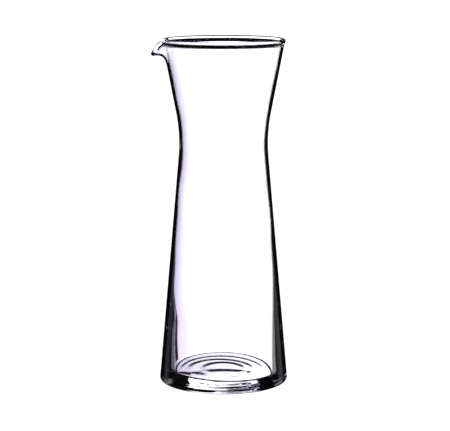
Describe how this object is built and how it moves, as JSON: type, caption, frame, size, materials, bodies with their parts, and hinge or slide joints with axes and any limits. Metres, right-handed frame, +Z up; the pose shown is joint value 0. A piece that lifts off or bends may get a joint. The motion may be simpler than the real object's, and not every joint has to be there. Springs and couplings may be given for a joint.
{
  "type": "glass carafe",
  "caption": "Clear glass carafe with a flared neck, a narrow waist, a straight flared body, a thick round base and a pulled pour lip on one side of the rim.",
  "frame": {"origin": "on the axis of the round body, in the plane that the base stands on", "axes": "+Z up along the body's axis to the mouth, -X towards the pour lip"},
  "size_m": [0.1017, 0.0964, 0.2575],
  "materials": {
    "clear_glass": "clear fire-polished soda-lime glass, colourless with a very faint lilac cast, dark at grazing edges"
  },
  "bodies": {
    "root": {"carafe": "clear_glass"}
  },
  "joints": []
}
